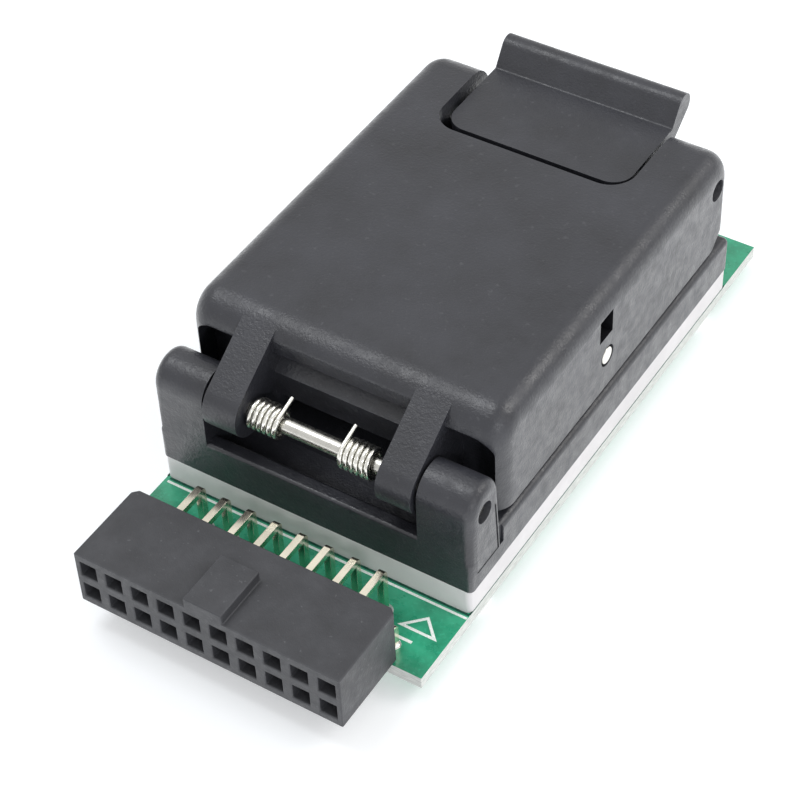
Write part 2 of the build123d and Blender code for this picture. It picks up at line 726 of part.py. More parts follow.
# Lid: a deep shell with two hinge arms, rounded over its top and corners
brow_y = lid_front + brow_setback
brow_bottom = lid_top - brow_drop
groove_back = brow_y + brow_groove_depth
groove_bottom = brow_bottom - brow_groove_height
shelf_edge_z = groove_bottom - shelf_slope
shelf_bottom = shelf_edge_z - shelf_height
shelf_back = brow_y + shelf_depth
recess_floor = lid_top - latch_recess_depth
with BuildPart() as lid_cover:
    with BuildSketch(Plane.YZ) as lid_outline:
        with BuildLine():
            Polyline(
                (lid_front, lid_bottom),
                (lid_front, lid_top),
                (lid_back, lid_top),
                (lid_back, lid_bottom + lid_back_bevel),
                (lid_back - lid_back_bevel, lid_bottom),
                close=True,
            )
        make_face()
        fillet(lid_outline.vertices().group_by(Axis.Y)[-1].sort_by(Axis.X)[0], lid_front_round)
        fillet(lid_outline.vertices().group_by(Axis.Y)[-1].sort_by(Axis.X)[-1], lid_back_round)
    extrude(amount=lid_width / 2, both=True)
    for side_face in lid_cover.faces().filter_by(Axis.X).sort_by(Axis.X):
        rounded = side_face.edges().sort_by(Axis.Z)[1:]
        fillet(rounded, lid_side_round)

    # Space between the arms: brow, groove and spring shelf
    with BuildSketch(Plane.YZ):
        with BuildLine():
            Polyline(
                (lid_front - lid_front_round, lid_top),
                (brow_y, lid_top),
                (brow_y, brow_bottom),
                (groove_back, brow_bottom),
                (groove_back, groove_bottom),
                (brow_y, shelf_edge_z),
                (brow_y, shelf_bottom),
                (shelf_back, shelf_bottom),
                (shelf_back, lid_bottom),
                (lid_front - lid_front_round, lid_bottom),
                close=True,
            )
        make_face()
    extrude(amount=arm_inner, both=True, mode=Mode.SUBTRACT)

    # Arms: a knuckle round the rod, drawn up to the rounded front edge
    for side in (-1, 1):
        with BuildSketch(Plane.YZ.offset(side * arm_inner)):
            with BuildLine():
                CenterArc((hinge_y, hinge_z), knuckle_diameter / 2, 0, 360)
                CenterArc((lid_front + lid_front_round, lid_top - lid_front_round), lid_front_round, 0, 360)
            make_hull()
            with BuildLine():
                Polyline(
                    (hinge_y, hinge_z - knuckle_diameter / 2),
                    (shelf_back, hinge_z - knuckle_diameter / 2),
                    (shelf_back, lid_top - lid_front_round),
                    (hinge_y, hinge_z),
                    close=True,
                )
            make_face()
        extrude(amount=side * arm_width)
    with BuildSketch(Plane.YZ):
        with Locations((hinge_y, hinge_z)):
            Circle(rod_diameter / 2 + running_clearance)
    extrude(amount=arm_outer, both=True, mode=Mode.SUBTRACT)

    # Arched openings that clear the ears, rounded at their outer corner
    arch_width = arch_outer - arm_outer
    for side in (-1, 1):
        with BuildSketch(Plane.XZ.offset(-lid_front)) as arch:
            with Locations((side * (arm_outer + arch_width / 2), lid_bottom + arch_height / 2)):
                Rectangle(arch_width, arch_height)
            outer_corner = arch.vertices().group_by(Axis.Y)[-1].sort_by(lambda v: abs(v.X))[-1]
            fillet(outer_corner, arch_round)
        extrude(amount=-arch_depth, mode=Mode.SUBTRACT)

    # Cavity for the pressure plate, with the cross pin's bore
    with BuildSketch(Plane.XY.offset(lid_bottom)):
        with Locations((0, chip_y)):
            RectangleRounded(plate_cavity_size, plate_cavity_size, plate_corner)
    extrude(amount=cavity_roof - lid_bottom, mode=Mode.SUBTRACT)
    with BuildSketch(Plane.YZ):
        with Locations((chip_y, cross_pin_z)):
            Circle(cross_pin_diameter / 2 + running_clearance)
    extrude(amount=lid_width / 2, both=True, mode=Mode.SUBTRACT)

    # Latch recess in the top, the slot for its arm, and seats for the latch springs
    with BuildSketch(Plane.XY.offset(recess_floor)) as recess:
        with Locations((0, lid_back - latch_recess_length / 2)):
            Rectangle(latch_recess_width, latch_recess_length)
        fillet(recess.vertices().group_by(Axis.Y)[0], latch_recess_round)
    extrude(amount=latch_recess_depth, mode=Mode.SUBTRACT)
    with BuildSketch(Plane.XY.offset(lid_bottom)):
        with Locations((0, lid_back - latch_slot_length / 2)):
            Rectangle(latch_recess_width, latch_slot_length)
    extrude(amount=lid_height, mode=Mode.SUBTRACT)
    with BuildSketch(Plane.XY.offset(recess_floor)):
        with Locations(*latch_spring_spots):
            Circle(latch_spring_outer / 2 + spring_pocket_clearance)
    extrude(amount=-latch_spring_seat_depth, mode=Mode.SUBTRACT)
    with BuildSketch(Plane.YZ):
        with Locations((latch_pin_y, latch_pin_z)):
            Circle(latch_pin_diameter / 2 + running_clearance)
    extrude(amount=lid_width / 2, both=True, mode=Mode.SUBTRACT)

    # Counterbores round both pins and the blind slot above the cross pin, each cut outward from its floor
    for side in (-1, 1):
        with BuildSketch(Plane.YZ.offset(side * (lid_width / 2 - pin_counterbore_depth))):
            with Locations((chip_y, cross_pin_z), (latch_pin_y, latch_pin_z)):
                Circle(pin_counterbore_diameter / 2)
        extrude(amount=side * lid_side_round, mode=Mode.SUBTRACT)
        with BuildSketch(Plane.YZ.offset(side * (lid_width / 2 - side_slot_depth))):
            slot_y = chip_y - side_slot_lead + side_slot_length / 2
            with Locations((slot_y, cross_pin_z + side_slot_rise + side_slot_height / 2)):
                Rectangle(side_slot_length, side_slot_height)
        extrude(amount=side * lid_width / 2, mode=Mode.SUBTRACT)
lid_cover.part.label = "lid_cover"
export_step(lid_cover.part, "parts/lid_cover.step")

# Pressure plate: a block with a nose that presses the chip, and a slotted bore for the cross pin
nose_width = chip_width - 2 * plate_nose_gap
nose_length = chip_length - 2 * plate_nose_gap
slot_length = cross_pin_diameter + 2 * running_clearance + plate_travel
with BuildPart() as pressure_plate:
    with BuildSketch(Plane.XY.offset(plate_bottom)):
        with Locations((0, chip_y)):
            RectangleRounded(plate_size, plate_size, plate_corner)
    extrude(amount=plate_thickness)
    with BuildSketch(Plane.XY.offset(plate_bottom)):
        with Locations((0, chip_y)):
            Rectangle(nose_width, nose_length)
    extrude(amount=-plate_nose_height)
    chamfer(pressure_plate.edges().group_by(Axis.Z)[0], plate_fit)
    with BuildSketch(Plane.YZ):
        with Locations((chip_y, cross_pin_z - plate_travel / 2)):
            SlotOverall(slot_length, cross_pin_diameter + 2 * running_clearance, rotation=90)
    extrude(amount=plate_size, both=True, mode=Mode.SUBTRACT)
    with BuildSketch(Plane.XY.offset(plate_top)):
        with Locations(*plate_spring_spots):
            Circle(plate_spring_outer / 2 + spring_pocket_clearance)
    extrude(amount=-plate_spring_pocket, mode=Mode.SUBTRACT)
pressure_plate.part.label = "pressure_plate"
export_step(pressure_plate.part, "parts/pressure_plate.step")

with BuildPart() as cross_pin:
    with BuildSketch(Plane.YZ):
        with Locations((chip_y, cross_pin_z)):
            Circle(cross_pin_diameter / 2)
    extrude(amount=lid_width / 2, both=True)
cross_pin.part.label = "cross_pin"
export_step(cross_pin.part, "parts/cross_pin.step")

with BuildPart() as pressure_springs:
    plate_spring_seat = plate_top - plate_spring_pocket
    for x, y in plate_spring_spots:
        with Locations((x, y, plate_spring_seat)):
            add(
                coil_spring(
                    plate_spring_outer,
                    plate_spring_wire,
                    cavity_roof - plate_spring_seat,
                    plate_spring_turns,
                )
            )
pressure_springs.part.label = "pressure_springs"
export_step(pressure_springs.part, "parts/pressure_springs.step")

# Latch: a rocking plate with a finger lip behind, a boss on the pin and a hooked arm in the catch
latch_half = latch_recess_width / 2 - latch_side_gap
lip_neck = (latch_pin_y + lip_neck_reach, (latch_plate_top + latch_plate_bottom) / 2)
lip_head = (lip_neck[0] + lip_head_reach, lip_neck[1] + lip_head_rise)
arm_back = latch_pin_y + latch_arm_offset + latch_arm_thickness
hook_top = catch_ledge_bottom - latch_hook_gap
hook_bottom = base_bottom + latch_hook_floor_gap
with BuildPart() as latch_lever:
    with BuildSketch(Plane.XY.offset(latch_plate_bottom)) as plate_outline:
        with Locations((0, (latch_front + lip_neck[0]) / 2)):
            Rectangle(2 * latch_half, lip_neck[0] - latch_front)
        fillet(plate_outline.vertices().group_by(Axis.Y)[0], latch_plate_round)
    extrude(amount=latch_plate_thickness)
    with BuildSketch(Plane.YZ):
        with BuildLine():
            CenterArc(lip_neck, latch_plate_thickness / 2, 0, 360)
            CenterArc(lip_head, lip_head_diameter / 2, 0, 360)
        make_hull()
    extrude(amount=latch_half, both=True)
    top_edges = latch_lever.edges().filter_by(Axis.X).filter_by_position(
        Axis.Z, latch_plate_top - lip_crease_round, latch_plate_top + lip_crease_round
    )
    crease = top_edges.filter_by_position(Axis.Y, latch_pin_y, lip_head[0])
    fillet(crease, lip_crease_round)
    with BuildSketch(Plane.YZ):
        with Locations((latch_pin_y, latch_pin_z)):
            Circle(latch_boss_diameter / 2)
    extrude(amount=latch_half, both=True)
    with BuildSketch(Plane.YZ):
        with BuildLine():
            Polyline(
                (latch_pin_y + latch_arm_offset, latch_pin_z),
                (arm_back, latch_pin_z),
                (arm_back, hook_bottom),
                (catch_ledge_y - latch_hook_reach / 2, hook_bottom),
                (catch_ledge_y - latch_hook_reach, hook_bottom + latch_hook_height / 2),
                (catch_ledge_y - latch_hook_reach, hook_top),
                (latch_pin_y + latch_arm_offset, hook_top),
                close=True,
            )
        make_face()
    extrude(amount=latch_arm_width / 2, both=True)
    with BuildSketch(Plane.YZ):
        with Locations((latch_pin_y, latch_pin_z)):
            Circle(latch_pin_diameter / 2 + running_clearance)
    extrude(amount=latch_recess_width / 2, both=True, mode=Mode.SUBTRACT)
latch_lever.part.label = "latch_lever"
export_step(latch_lever.part, "parts/latch_lever.step")

with BuildPart() as latch_pin:
    with BuildSketch(Plane.YZ):
        with Locations((latch_pin_y, latch_pin_z)):
            Circle(latch_pin_diameter / 2)
    extrude(amount=lid_width / 2 - latch_pin_recess, both=True)
latch_pin.part.label = "latch_pin"
export_step(latch_pin.part, "parts/latch_pin.step")

with BuildPart() as latch_springs:
    latch_spring_seat = recess_floor - latch_spring_seat_depth
    for x, y in latch_spring_spots:
        with Locations((x, y, latch_spring_seat)):
            add(
                coil_spring(
                    latch_spring_outer,
                    latch_spring_wire,
                    latch_plate_bottom - latch_spring_seat,
                    latch_spring_turns,
                )
            )
latch_springs.part.label = "latch_springs"
export_step(latch_springs.part, "parts/latch_springs.step")
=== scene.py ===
import json
from math import cos, pi, radians, sin

import bmesh
import bpy
from mathutils import Matrix, Vector


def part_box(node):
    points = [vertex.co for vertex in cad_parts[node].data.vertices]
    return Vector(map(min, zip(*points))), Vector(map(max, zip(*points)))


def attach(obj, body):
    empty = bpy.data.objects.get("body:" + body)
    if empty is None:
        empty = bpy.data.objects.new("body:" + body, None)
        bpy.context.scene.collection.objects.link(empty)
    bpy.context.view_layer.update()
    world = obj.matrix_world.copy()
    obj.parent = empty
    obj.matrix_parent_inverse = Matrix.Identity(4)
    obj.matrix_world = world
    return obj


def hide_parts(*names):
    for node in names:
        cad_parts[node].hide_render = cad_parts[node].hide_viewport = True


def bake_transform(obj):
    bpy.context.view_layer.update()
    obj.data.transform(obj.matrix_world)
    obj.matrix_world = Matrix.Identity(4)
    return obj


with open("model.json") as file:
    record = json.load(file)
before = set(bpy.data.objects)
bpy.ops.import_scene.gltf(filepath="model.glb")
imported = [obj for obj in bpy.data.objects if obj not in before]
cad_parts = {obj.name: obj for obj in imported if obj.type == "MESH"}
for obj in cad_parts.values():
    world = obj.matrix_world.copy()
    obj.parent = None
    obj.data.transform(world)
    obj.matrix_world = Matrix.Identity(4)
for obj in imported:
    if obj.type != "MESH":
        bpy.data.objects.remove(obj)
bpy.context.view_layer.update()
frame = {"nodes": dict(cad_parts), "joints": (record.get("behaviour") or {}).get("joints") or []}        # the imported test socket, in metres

mm = 0.001
print("frame loaded:", len(frame["nodes"]), "nodes")


# Node helpers

def addNode(material, kind, values=None, **settings):
    node = material.node_tree.nodes.new(kind)
    for key, value in settings.items():
        setattr(node, key, value)
    for socket, value in (values or {}).items():
        node.inputs[socket].default_value = value
    return node


def join(material, fromSocket, toSocket):
    material.node_tree.links.new(fromSocket, toSocket)


def objectPoint(material):
    return addNode(material, "ShaderNodeTexCoord").outputs["Object"]


def noiseField(material, size, detail=3.0, roughness=0.55, stretch=None):
    # size is the width of one blotch in millimetres
    noise = addNode(material, "ShaderNodeTexNoise",
                    {"Scale": 1 / (size * mm), "Detail": detail, "Roughness": roughness})
    point = objectPoint(material)
    if stretch:
        mapping = addNode(material, "ShaderNodeMapping", {"Scale": stretch})
        join(material, point, mapping.inputs["Vector"])
        point = mapping.outputs["Vector"]
    join(material, point, noise.inputs["Vector"])
    return noise.outputs["Fac"]


def remap(material, socket, low, high, toLow, toHigh):
    ranged = addNode(material, "ShaderNodeMapRange",
                     {"From Min": low, "From Max": high, "To Min": toLow, "To Max": toHigh}, clamp=True)
    join(material, socket, ranged.inputs["Value"])
    return ranged.outputs["Result"]


def blendColour(material, factor, first, second):
    # first and second are colours or sockets
    mix = addNode(material, "ShaderNodeMix", data_type="RGBA")
    join(material, factor, mix.inputs["Factor"])
    for name, value in (("A", first), ("B", second)):
        target = [s for s in mix.inputs if s.name == name and s.type == "RGBA"][0]
        if isinstance(value, tuple):
            target.default_value = (*value, 1)
        else:
            join(material, value, target)
    return [s for s in mix.outputs if s.type == "RGBA"][0]


def multiply(material, first, second):
    node = addNode(material, "ShaderNodeMath", operation="MULTIPLY")
    for socket, value in zip(node.inputs, (first, second)):
        if isinstance(value, (int, float)):
            socket.default_value = value
        else:
            join(material, value, socket)
    return node.outputs["Value"]


def addBump(material, shader, layers):
    # each layer is a height field and its depth in millimetres
    below = None
    for height, depth in layers:
        bump = addNode(material, "ShaderNodeBump", {"Strength": 1.0, "Distance": depth * mm})
        join(material, height, bump.inputs["Height"])
        if below:
            join(material, below, bump.inputs["Normal"])
        below = bump.outputs["Normal"]
    join(material, below, shader.inputs["Normal"])


def startMaterial(name, colour, roughness, metallic=0.0, specular=0.5):
    material = bpy.data.materials.new(name)
    material.use_nodes = True
    shader = material.node_tree.nodes["Principled BSDF"]
    shader.inputs["Base Color"].default_value = (*colour, 1)
    shader.inputs["Roughness"].default_value = roughness
    shader.inputs["Metallic"].default_value = metallic
    shader.inputs["Specular IOR Level"].default_value = specular
    return material, shader


def shade(colour, amount):
    return tuple(min(1.0, c * amount) for c in colour)


def edgeMask(material, reach, low, high):
    # 1 along sharp edges, fading out over reach millimetres
    bevel = addNode(material, "ShaderNodeBevel", {"Radius": reach * mm}, samples=4)
    geometry = addNode(material, "ShaderNodeNewGeometry")
    dot = addNode(material, "ShaderNodeVectorMath", operation="DOT_PRODUCT")
    join(material, bevel.outputs["Normal"], dot.inputs[0])
    join(material, geometry.outputs["Normal"], dot.inputs[1])
    return remap(material, dot.outputs["Value"], high, low, 0.0, 1.0)


# Moulded plastics

socketLook = {
    "colour": (0.024, 0.025, 0.031),
    "variation": 0.35,       # how much lighter and darker its clouds are
    "roughness": 0.38,
    "roughnessSpread": 0.1,
    "grainSize": 0.26,       # sizes and depths are in millimetres
    "grainDepth": 0.045,
    "rippleSize": 3.4,
    "rippleDepth": 0.002,
    "dust": 0.05,
    "wearAndSheen": 0.35,
    "wearAndSheenReach": 0.22,       # how far from a sharp edge it is rubbed and lightened as a painted highlight, in millimetres
    "specular": 0.52,
}

headerLook = {
    "colour": (0.040, 0.041, 0.046),
    "variation": 0.25,
    "roughness": 0.55,
    "roughnessSpread": 0.08,
    "grainSize": 0.22,
    "grainDepth": 0.035,
    "rippleSize": 1.6,
    "rippleDepth": 0.006,
    "dust": 0.1,
    "wearAndSheen": 0.5,
    "wearAndSheenReach": 0.22,
    "specular": 0.4,
}

spacerLook = {
    "colour": (0.74, 0.72, 0.73),
    "variation": 0.08,
    "roughness": 0.55,
    "roughnessSpread": 0.1,
    "grainSize": 0.2,
    "grainDepth": 0.006,
    "rippleSize": 3.0,
    "rippleDepth": 0.01,
    "dust": 0.0,
    "wearAndSheen": 0.1,
    "wearAndSheenReach": 0.22,
    "specular": 0.45,
}

guideLook = {**socketLook, "colour": (0.045, 0.046, 0.05), "roughness": 0.42, "grainSize": 0.12, "dust": 0.02}

# painted shade: a near-black copy of the socket plastic, for the lid's slots and the ears' seams
paintedShadeLook = {**socketLook, "colour": (0.006, 0.006, 0.008), "roughness": 0.8, "specular": 0.1, "dust": 0.0}

blockLook = {
    **socketLook,
    "colour": (0.23, 0.15, 0.075),
    "variation": 0.12,
    "roughness": 0.48,
    "dust": 0.0,
    "wearAndSheen": 0.2,
}


def mouldedPlastic(name, look):
    colour = look["colour"]
    material, shader = startMaterial(name, colour, look["roughness"], specular=look["specular"])
    blotch = noiseField(material, look["rippleSize"] * 1.7, detail=5.0)
    mottle = noiseField(material, look["grainSize"] * 4, detail=4.0)
    grain = noiseField(material, look["grainSize"], detail=2.0, roughness=0.7)
    ripple = noiseField(material, look["rippleSize"], detail=2.0)
    dark = shade(colour, 1 - look["variation"])
    light = shade(colour, 1 + look["variation"])
    cloud = blendColour(material, remap(material, blotch, 0.3, 0.7, 0.0, 1.0), dark, light)
    tone = blendColour(material, remap(material, mottle, 0.35, 0.7, 0.0, 0.5), cloud, colour)
    # sharp edges lighter: partly rubbed wear, partly a painted highlight
    wearAndSheenEdge = edgeMask(material, look["wearAndSheenReach"], 0.86, 0.995)
    wearAndSheenAmount = multiply(material, wearAndSheenEdge, look["wearAndSheen"])
    tone = blendColour(material, wearAndSheenAmount, tone, shade(colour, 1.9))
    if look["dust"]:
        speck = noiseField(material, look["grainSize"] * 1.8, detail=1.0, roughness=0.4)
        dusty = remap(material, speck, 0.70, 0.80, 0.0, look["dust"])
        tone = blendColour(material, dusty, tone, (0.42, 0.43, 0.45))
    join(material, tone, shader.inputs["Base Color"])
    spread = look["roughnessSpread"]
    rough = remap(material, mottle, 0.3, 0.7, look["roughness"] - spread, look["roughness"] + spread)
    join(material, rough, shader.inputs["Roughness"])
    addBump(material, shader, [(ripple, look["rippleDepth"]), (grain, look["grainDepth"])])
    return material


# Circuit board

boardLook = {
    "mask": (0.028, 0.36, 0.20),
    "maskDark": (0.018, 0.25, 0.135),
    "copperUnderMask": (0.045, 0.46, 0.27),
    # painted shade: the mask's colours where the spacer plate's shade falls, with their clouds
    "paintedShade": (0.008, 0.07, 0.045),
    "paintedShadeDark": (0.005, 0.05, 0.032),
    "paintedShadeLight": (0.012, 0.10, 0.065),
    "laminate": (0.72, 0.74, 0.71),
    "maskRoughness": 0.3,
    "coat": 0.3,
    "coatRoughness": 0.15,
    "cloudSize": 2.2,        # sizes and depths are in millimetres
    "speckSize": 0.35,
    "paintedShadeCloudSize": 0.6,
    "weave": 0.35,
    "weaveDepth": 0.004,
    "layerSize": 0.9,
    "layerDepth": 0.02,
    "layerStretch": (1, 1, 9),
}


def boardMask():
    material, shader = startMaterial("green solder mask", boardLook["mask"], boardLook["maskRoughness"])
    cloud = remap(material, noiseField(material, boardLook["cloudSize"], detail=4.0), 0.35, 0.65, 0.0, 1.0)
    tone = blendColour(material, cloud, boardLook["maskDark"], boardLook["mask"])
    speck = remap(material, noiseField(material, boardLook["speckSize"], detail=3.0), 0.55, 0.75, 0.0, 0.6)
    tone = blendColour(material, speck, tone, boardLook["copperUnderMask"])
    join(material, tone, shader.inputs["Base Color"])
    stain = noiseField(material, boardLook["cloudSize"] / 2, detail=4.0)
    rough = remap(material, stain, 0.3, 0.7, 0.22, 0.42)
    join(material, rough, shader.inputs["Roughness"])
    shader.inputs["Coat Weight"].default_value = boardLook["coat"]
    shader.inputs["Coat Roughness"].default_value = boardLook["coatRoughness"]
    weave = []
    for direction in ("X", "Y"):
        wave = addNode(material, "ShaderNodeTexWave",
                       {"Scale": 1 / (boardLook["weave"] * mm) / (2 * pi), "Distortion": 0.6, "Detail": 1.0},
                       bands_direction=direction)
        join(material, objectPoint(material), wave.inputs["Vector"])
        weave.append((wave.outputs["Fac"], boardLook["weaveDepth"]))
    addBump(material, shader, weave)
    return material


def paintedShadeMask():
    # painted shade: the mask darkened as if in the spacer plate's shade
    material, shader = startMaterial("painted shade on solder mask", boardLook["paintedShade"], 0.6, specular=0.2)
    patches = noiseField(material, boardLook["paintedShadeCloudSize"], detail=4.0)
    cloud = remap(material, patches, 0.35, 0.65, 0.0, 1.0)
    tone = blendColour(material, cloud, boardLook["paintedShadeDark"], boardLook["paintedShadeLight"])
    join(material, tone, shader.inputs["Base Color"])
    addBump(material, shader, [(cloud, boardLook["weaveDepth"])])
    return material


def boardLaminate():
    material, shader = startMaterial("glass laminate edge", boardLook["laminate"], 0.7)
    layers = noiseField(material, boardLook["layerSize"], detail=4.0, stretch=boardLook["layerStretch"])
    tone = blendColour(material, remap(material, layers, 0.35, 0.65, 0.0, 1.0),
                       shade(boardLook["laminate"], 0.78), shade(boardLook["laminate"], 1.1))
    join(material, tone, shader.inputs["Base Color"])
    addBump(material, shader, [(layers, boardLook["layerDepth"])])
    return material


inkLook = {"full": (0.86, 0.88, 0.86), "thin": (0.62, 0.74, 0.68), "patchSize": 0.18, "depth": 0.004}


def silkInk():
    material, shader = startMaterial("white board ink", inkLook["full"], 0.6)
    cover = remap(material, noiseField(material, inkLook["patchSize"], detail=3.0), 0.35, 0.6, 0.0, 1.0)
    tone = blendColour(material, cover, inkLook["thin"], inkLook["full"])
    join(material, tone, shader.inputs["Base Color"])
    addBump(material, shader, [(cover, inkLook["depth"])])
    return material


# Metals

metalLooks = {
    "tinned contact": {"colour": (0.84, 0.79, 0.65), "roughness": 0.13, "grain": 0.4, "depth": 0.002},
    "solder": {"colour": (0.88, 0.88, 0.87), "roughness": 0.38, "grain": 0.4, "depth": 0.02},
    "spring wire": {"colour": (0.78, 0.77, 0.72), "roughness": 0.2, "grain": 0.2, "depth": 0.002},
    "ground pin": {"colour": (0.62, 0.61, 0.57), "roughness": 0.24, "grain": 0.3, "depth": 0.002},
    "zinc screw": {"colour": (0.66, 0.66, 0.65), "roughness": 0.32, "grain": 0.5, "depth": 0.006},
    "gold plunger": {"colour": (0.95, 0.70, 0.30), "roughness": 0.26, "grain": 0.1, "depth": 0.003},
    "blasted aluminium": {"colour": (0.58, 0.59, 0.61), "roughness": 0.45, "grain": 0.15, "depth": 0.012},
}


def metal(name, stretch=None):
    look = metalLooks[name]
    material, shader = startMaterial(name, look["colour"], look["roughness"], metallic=1.0)
    fine = noiseField(material, look["grain"], detail=4.0, stretch=stretch)
    stain = noiseField(material, look["grain"] * 9, detail=3.0)
    tone = blendColour(material, remap(material, stain, 0.4, 0.75, 0.0, 1.0),
                       look["colour"], shade(look["colour"], 0.72))
    join(material, tone, shader.inputs["Base Color"])
    rough = remap(material, fine, 0.3, 0.7, look["roughness"] * 0.7, look["roughness"] * 1.5)
    join(material, rough, shader.inputs["Roughness"])
    addBump(material, shader, [(fine, look["depth"])])
    return material


socketPlastic = mouldedPlastic("black socket plastic", socketLook)
headerPlastic = mouldedPlastic("black header plastic", headerLook)
spacerPlastic = mouldedPlastic("white spacer plastic", spacerLook)
guidePlastic = mouldedPlastic("black guide plastic", guideLook)
# painted shade plastic for the slots and seams
paintedShadePlastic = mouldedPlastic("painted shade plastic", paintedShadeLook)
blockPlastic = mouldedPlastic("brown block plastic", blockLook)
maskGreen = boardMask()
laminateEdge = boardLaminate()
# painted shade of the mask beside the spacer plate
paintedShadeMaterial = paintedShadeMask()
whiteInk = silkInk()
tin = metal("tinned contact", stretch=(6, 1, 1))
solder = metal("solder")
springWire = metal("spring wire")
groundPin = metal("ground pin", stretch=(1, 6, 6))
zinc = metal("zinc screw")
gold = metal("gold plunger")
aluminium = metal("blasted aluminium")
print("materials made:", len(bpy.data.materials))


# Mesh helpers

meshLimits = {
    "merge": 0.001,          # millimetres between corners that become one
    "flat": 0.4,             # degrees between faces that become one
    "sharp": 40,             # degrees from which an edge is softened
    "smooth": 38,            # degrees up to which faces shade as one
}


def newPiece(name, mesh, body, materials):
    data = bpy.data.meshes.new(name)
    mesh.to_mesh(data)
    mesh.free()
    piece = bpy.data.objects.new(name, data)
    bpy.context.scene.collection.objects.link(piece)
    for material in materials:
        data.materials.append(material)
    data.shade_smooth()
    data.set_sharp_from_angle(angle=radians(meshLimits["smooth"]))
    flatten = piece.modifiers.new("flat faces stay flat", "WEIGHTED_NORMAL")
    flatten.keep_sharp = True
    if body:
        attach(piece, body)
    return piece


def dressNode(node, body, materials, edge=0.0, segments=2, split=None, paint=None):
    # the node's own form, with its flat faces made whole and its sharp edges softened by edge millimetres
    mesh = bmesh.new()
    mesh.from_mesh(frame["nodes"][node].data)
    bmesh.ops.remove_doubles(mesh, verts=mesh.verts, dist=meshLimits["merge"] * mm)
    bmesh.ops.dissolve_limit(mesh, angle_limit=radians(meshLimits["flat"]),
                             verts=mesh.verts, edges=mesh.edges)
    if edge:
        limit = radians(meshLimits["sharp"])
        sharp = [e for e in mesh.edges if len(e.link_faces) == 2 and e.calc_face_angle(0) > limit]
        bmesh.ops.bevel(mesh, geom=sharp, offset=edge * mm, segments=segments, profile=0.5,
                        affect="EDGES", clamp_overlap=True, loop_slide=True)
    mesh.normal_update()
    if split:
        split(mesh)
    if paint:
        for face in mesh.faces:
            face.material_index = paint(face)
    piece = newPiece(node + "_finished", mesh, body, materials)
    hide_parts(node)
    return piece


def skinRings(mesh, rings):
    # walls between rings of as many corners, closed at both ends
    sides = len(rings[0])
    for first, second in zip(rings, rings[1:]):
        for k in range(sides):
            after = (k + 1) % sides
            mesh.faces.new((first[k], first[after], second[after], second[k]))
    mesh.faces.new(list(reversed(rings[0])))
    mesh.faces.new(rings[-1])


def tubeMesh(mesh, points, radius, sides):
    # a round wire along the points, closed at both ends
    rings = []
    normal = None
    for i, point in enumerate(points):
        ahead = points[min(i + 1, len(points) - 1)]
        behind = points[max(i - 1, 0)]
        along = (ahead - behind).normalized()
        if normal is None:
            normal = along.orthogonal().normalized()
        normal = (normal - along * normal.dot(along)).normalized()
        across = along.cross(normal)
        ring = []
        for k in range(sides):
            turn = 2 * pi * k / sides
            ring.append(mesh.verts.new(point + (normal * cos(turn) + across * sin(turn)) * radius))
        rings.append(ring)
    skinRings(mesh, rings)


def latheMesh(mesh, profile, centre, sides):
    # profile is a list of radius and height pairs in millimetres, from the bottom up
    rings = []
    for radius, height in profile:
        ring = []
        for k in range(sides):
            turn = 2 * pi * k / sides
            corner = Vector((radius * cos(turn), radius * sin(turn), height)) * mm
            ring.append(mesh.verts.new(centre + corner))
        rings.append(ring)
    skinRings(mesh, rings)


def slabMesh(mesh, outline, low, high):
    # an outline of x and y pairs in metres, raised from low to high
    bottom = [mesh.verts.new((x, y, low)) for x, y in outline]
    top = [mesh.verts.new((x, y, high)) for x, y in outline]
    count = len(outline)
    for k in range(count):
        mesh.faces.new((bottom[k], bottom[(k + 1) % count], top[(k + 1) % count], top[k]))
    mesh.faces.new(list(reversed(bottom)))
    mesh.faces.new(top)


def rectangle(left, front, right, back):
    return [(left, front), (right, front), (right, back), (left, back)]


def ringMesh(mesh, outer, inner, low, high):
    # the band between two outlines with as many corners, raised from low to high
    loops = [[mesh.verts.new((p.x, p.y, z)) for p in outline]
             for outline, z in ((outer, low), (outer, high), (inner, high), (inner, low))]
    for first, second in zip(loops, loops[1:] + loops[:1]):
        for k in range(len(outer)):
            after = (k + 1) % len(outer)
            mesh.faces.new((first[k], first[after], second[after], second[k]))


# Camera, floor and light

view = {
    "azimuth": 34.165,       # degrees to the right of the header's front
    "elevation": 45.125,
    "roll": -2.78,
    "distance": 195.27,      # millimetres from the target
    "target": (0.28, -5.04, 8.0),
    "lens": 103.55,
    "sensor": 36,
    "clip": (0.01, 20),      # metres
}


def placeCamera():
    azimuth, elevation, roll = (radians(view[k]) for k in ("azimuth", "elevation", "roll"))
    forward = Vector((-sin(azimuth) * cos(elevation), cos(azimuth) * cos(elevation), -sin(elevation)))
    level = Vector((cos(azimuth), sin(azimuth), 0))
    upright = level.cross(forward)
    right = level * cos(roll) + upright * sin(roll)
    up = right.cross(forward)
    turn = Matrix((right, up, -forward)).transposed().to_4x4()
    place = Vector(view["target"]) * mm - forward * view["distance"] * mm
    camera = bpy.data.objects.new("camera", bpy.data.cameras.new("camera"))
    bpy.context.scene.collection.objects.link(camera)
    camera.matrix_world = Matrix.Translation(place) @ turn
    camera.data.lens = view["lens"]
    camera.data.sensor_width = view["sensor"]
    camera.data.clip_start, camera.data.clip_end = view["clip"]
    bpy.context.scene.camera = camera


